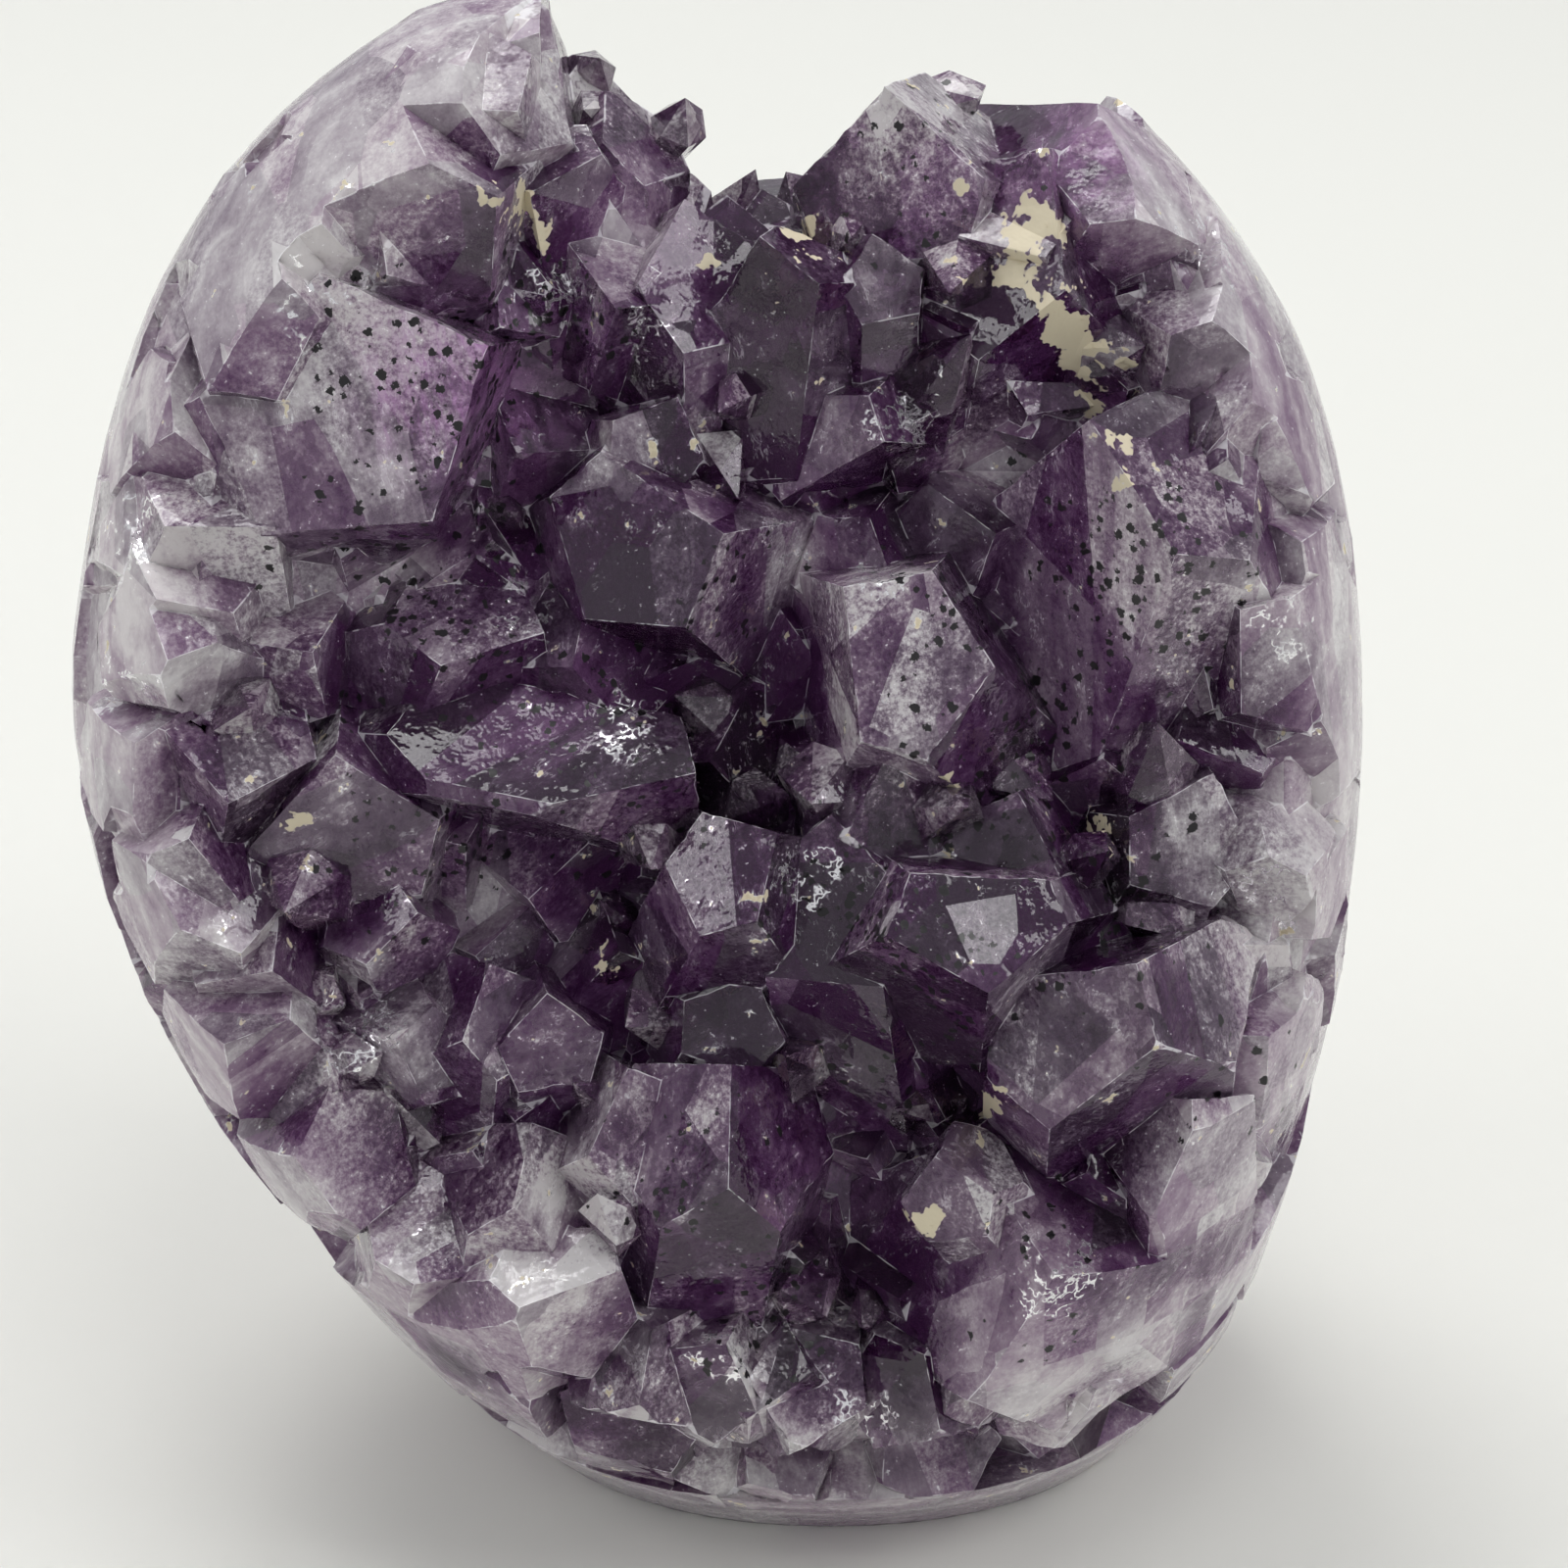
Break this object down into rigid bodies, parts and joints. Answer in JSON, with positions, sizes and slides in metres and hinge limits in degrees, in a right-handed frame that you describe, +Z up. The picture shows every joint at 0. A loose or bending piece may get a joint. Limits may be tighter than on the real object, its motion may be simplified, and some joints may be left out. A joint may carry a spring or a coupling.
{
  "type": "cut base amethyst cluster",
  "caption": "Upright amethyst cluster on a flat sawn base: quartz crystals crowd its leaning front and notched crest, and its sides and back are ground and polished round.",
  "frame": {"origin": "middle of the plan's bounding box, on the sawn base", "axes": "+Z up from the base, -Y towards the crystal front, +X to the right seen from the front"},
  "size_m": [0.1172, 0.082, 0.1395],
  "materials": {
    "amethyst": "violet quartz: glossy flat crystal faces, milky at the rim, the outside polished"
  },
  "bodies": {
    "root": {"amethyst_cluster": "amethyst"}
  },
  "joints": []
}
